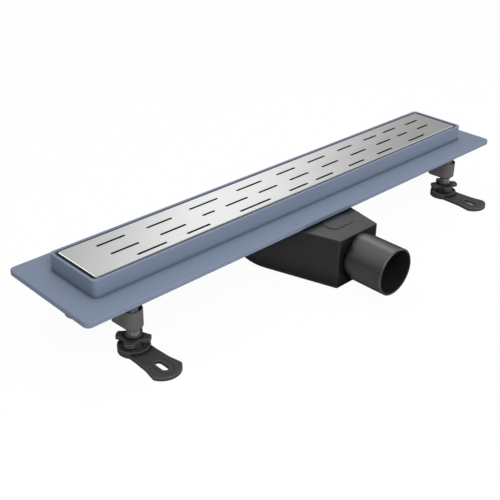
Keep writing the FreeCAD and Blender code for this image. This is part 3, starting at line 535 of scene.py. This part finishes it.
def stand_for(piece, node, body):
    """Puts a finished piece in the place of a solid of the frame."""
    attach(piece, body)
    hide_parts(node)
    print(piece.name, "faces:", len(piece.data.polygons))


# %% [markdown]
# ## Threaded rods of the feet
#
# Each foot stands on an M12 rod. The thread is a groove that climbs one pitch per turn, so a point
# on the rod's side lies high on the thread or low in it by its height and its angle together.
# The tree starts from a finely divided cylinder and moves each point in by that amount. A real rod
# has a bevel at its ends, which here limits how far out a point near the end may lie.

# %% Threaded rods
ROD_SIDES = 32
STEPS_PER_TURN = 8
# Distance from the middle of a crest, in pitches, where the groove's side starts and where it ends.
SIDE_STARTS = 0.06
SIDE_ENDS = 0.44
ROD = {"Radius": 5.9 * MM, "Groove": 0.85 * MM, "Pitch": 1.75 * MM, "Bevel": 0.9 * MM,
       "Bottom": 0.0, "Top": 0.05, "Across": 0.0, "Along": 0.0}


def threaded_rod_tree(material):
    tree, inputs, output = new_tree("threaded_rod", ROD)
    size = inputs.outputs
    sums = sums_in(tree)

    height = sums("SUBTRACT", size["Top"], size["Bottom"])
    middle = sums("MULTIPLY", sums("ADD", size["Top"], size["Bottom"]), 0.5)
    turns = sums("DIVIDE", height, size["Pitch"])
    rod = geo_node(tree, "GeometryNodeMeshCylinder",
                   {"Vertices": ROD_SIDES, "Side Segments": sums("MULTIPLY", turns, STEPS_PER_TURN),
                    "Radius": size["Radius"], "Depth": height}, fill_type="TRIANGLE_FAN")
    place = geo_node(tree, "GeometryNodeInputPosition", {})
    split = geo_node(tree, "ShaderNodeSeparateXYZ", {0: place.outputs[0]})
    across, along, level = split.outputs
    round_share = sums("DIVIDE", sums("ARCTAN2", along, across), 2 * math.pi)
    phase = sums("FRACT", sums("SUBTRACT", sums("DIVIDE", level, size["Pitch"]), round_share))
    slope = sums("ABSOLUTE", sums("SUBTRACT", phase, 0.5))
    flank = geo_node(tree, "ShaderNodeMapRange",
                     {"Value": slope, "From Min": SIDE_STARTS, "From Max": SIDE_ENDS})
    inward = sums("MULTIPLY", flank.outputs[0], size["Groove"])
    from_end = sums("SUBTRACT", sums("MULTIPLY", height, 0.5), sums("ABSOLUTE", level))
    bevelled = sums("ADD", sums("SUBTRACT", size["Radius"], size["Bevel"]), from_end)
    reach = sums("MINIMUM", sums("SUBTRACT", size["Radius"], inward), bevelled)
    share = sums("DIVIDE", reach, size["Radius"])
    moved = geo_node(tree, "ShaderNodeCombineXYZ",
                     {0: sums("ADD", sums("MULTIPLY", across, share), size["Across"]),
                      1: sums("ADD", sums("MULTIPLY", along, share), size["Along"]),
                      2: sums("ADD", level, middle)})
    cut = geo_node(tree, "GeometryNodeSetPosition", {"Geometry": rod.outputs["Mesh"],
                                                      "Position": moved.outputs[0]})
    finish_tree(tree, output, cut.outputs[0], material)
    return tree


rod_tree = threaded_rod_tree(FINISHES["zinc_steel"])
for corner in CORNERS:
    low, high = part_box("stud_" + corner)
    centre = (low + high) / 2
    rod = grow("threaded_rod_" + corner, rod_tree,
               {**ROD, "Bottom": low.z, "Top": high.z, "Across": centre.x, "Along": centre.y})
    stand_for(rod, "stud_" + corner, "stud_" + corner)

# %% [markdown]
# ## Screws
#
# Pan-head screws hold the brackets under the channel, and four more pull the trap up against it.
# A pan head is a short cylinder whose upper edge is rounded off, and its cross recess is cut out
# with two crossed bars. The tree makes one screw and sets a copy on every point of a small grid,
# so two or four screws are the same tree with another number of points.

# %% Screws
SCREWS = {"Head radius": 3.6 * MM, "Head height": 2.2 * MM, "Shank radius": 1.9 * MM, "Shank": 0.01,
          "Columns": 2, "Rows": 2, "Column gap": 0.072, "Row gap": 0.04,
          "Across": 0.0, "Along": 0.0, "Level": 0.0, "Flip": 0.0, "Turn": 0.0}
HEAD_SIDES = 32
SHANK_SIDES = 16
HEAD_STEPS = 6
HEAD_ROUNDING = 3.2
HEAD_TOP_SHARE = 0.965
RECESS_WIDTH = 0.26
RECESS_LENGTH = 1.15
RECESS_DEPTH = 0.62


def screws_tree(material):
    tree, inputs, output = new_tree("pan_head_screws", SCREWS)
    size = inputs.outputs
    sums = sums_in(tree)

    def moved_up(geometry, distance):
        shift = geo_node(tree, "ShaderNodeCombineXYZ", {2: distance})
        lifted = geo_node(tree, "GeometryNodeTransform",
                          {"Geometry": geometry, "Translation": shift.outputs[0]})
        return lifted.outputs[0]

    head = geo_node(tree, "GeometryNodeMeshCylinder",
                    {"Vertices": HEAD_SIDES, "Side Segments": HEAD_STEPS,
                     "Radius": size["Head radius"], "Depth": size["Head height"]},
                    fill_type="NGON")
    standing = moved_up(head.outputs["Mesh"], sums("MULTIPLY", size["Head height"], 0.5))
    place = geo_node(tree, "GeometryNodeInputPosition", {})
    split = geo_node(tree, "ShaderNodeSeparateXYZ", {0: place.outputs[0]})
    level_share = sums("DIVIDE", split.outputs[2], size["Head height"])
    raised = sums("MULTIPLY", level_share, HEAD_TOP_SHARE)
    left_over = sums("SUBTRACT", 1.0, sums("POWER", sums("MAXIMUM", raised, 0.0), HEAD_ROUNDING))
    share = sums("POWER", left_over, 1 / HEAD_ROUNDING)
    domed = geo_node(tree, "ShaderNodeCombineXYZ",
                     {0: sums("MULTIPLY", split.outputs[0], share),
                      1: sums("MULTIPLY", split.outputs[1], share), 2: split.outputs[2]})
    pan = geo_node(tree, "GeometryNodeSetPosition",
                   {"Geometry": standing, "Position": domed.outputs[0]})
    width = sums("MULTIPLY", size["Head radius"], RECESS_WIDTH)
    length = sums("MULTIPLY", size["Head radius"], RECESS_LENGTH)
    depth = sums("MULTIPLY", size["Head height"], 2 * RECESS_DEPTH)
    bars = []
    for first, second in ((length, width), (width, length)):
        box_size = geo_node(tree, "ShaderNodeCombineXYZ", {0: first, 1: second, 2: depth})
        bar = geo_node(tree, "GeometryNodeMeshCube", {"Size": box_size.outputs[0]})
        bars.append(moved_up(bar.outputs["Mesh"], size["Head height"]))
    recessed = pan.outputs[0]
    for bar in bars:
        cutter = geo_node(tree, "GeometryNodeMeshBoolean", {"Mesh 1": recessed},
                          operation="DIFFERENCE", solver="EXACT")
        tree.links.new(bar, cutter.inputs["Mesh 2"])
        recessed = cutter.outputs[0]
    shank = geo_node(tree, "GeometryNodeMeshCylinder",
                     {"Vertices": SHANK_SIDES, "Radius": size["Shank radius"],
                      "Depth": size["Shank"]})
    hanging = moved_up(shank.outputs["Mesh"], sums("MULTIPLY", size["Shank"], -0.5))
    screw = geo_node(tree, "GeometryNodeJoinGeometry", {})
    tree.links.new(recessed, screw.inputs[0])
    tree.links.new(hanging, screw.inputs[0])
    grid = geo_node(tree, "GeometryNodeMeshGrid",
                    {"Size X": size["Column gap"], "Size Y": size["Row gap"],
                     "Vertices X": size["Columns"], "Vertices Y": size["Rows"]})
    tilt = geo_node(tree, "ShaderNodeCombineXYZ", {0: size["Flip"]})
    copies = geo_node(tree, "GeometryNodeInstanceOnPoints",
                      {"Points": grid.outputs["Mesh"], "Instance": screw.outputs[0],
                       "Rotation": tilt.outputs[0]})
    spot = geo_node(tree, "ShaderNodeCombineXYZ",
                    {0: size["Across"], 1: size["Along"], 2: size["Level"]})
    turned = geo_node(tree, "ShaderNodeCombineXYZ", {2: size["Turn"]})
    placed = geo_node(tree, "GeometryNodeTransform",
                      {"Geometry": copies.outputs[0], "Translation": spot.outputs[0],
                       "Rotation": turned.outputs[0]})
    finish_tree(tree, output, placed.outputs[0], material)
    return tree


screw_tree = screws_tree(FINISHES["zinc_steel"])
low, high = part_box("clamp_screws")
under_head = high.z - SCREWS["Head height"]
clamp_screws = grow("clamp_pan_screws", screw_tree,
                    {**SCREWS, "Shank": under_head - low.z, "Level": under_head})
stand_for(clamp_screws, "clamp_screws", "root")
for corner in CORNERS:
    low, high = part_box("bracket_screws_" + corner)
    centre = (low + high) / 2
    under_head = low.z + SCREWS["Head height"]
    span = max(high.x - low.x, high.y - low.y) - 2 * SCREWS["Head radius"]
    lengthwise = high.x - low.x > high.y - low.y
    pair = grow("bracket_pan_screws_" + corner, screw_tree,
                {**SCREWS, "Shank": high.z - under_head, "Level": under_head, "Rows": 1,
                 "Column gap": span, "Across": centre.x, "Along": centre.y, "Flip": math.pi,
                 "Turn": 0.0 if lengthwise else math.pi / 2})
    stand_for(pair, "bracket_screws_" + corner, "root")

# %% [markdown]
# ## Last step
#
# The view layer is brought up to date once more.

# %% Last update
bpy.context.view_layer.update()
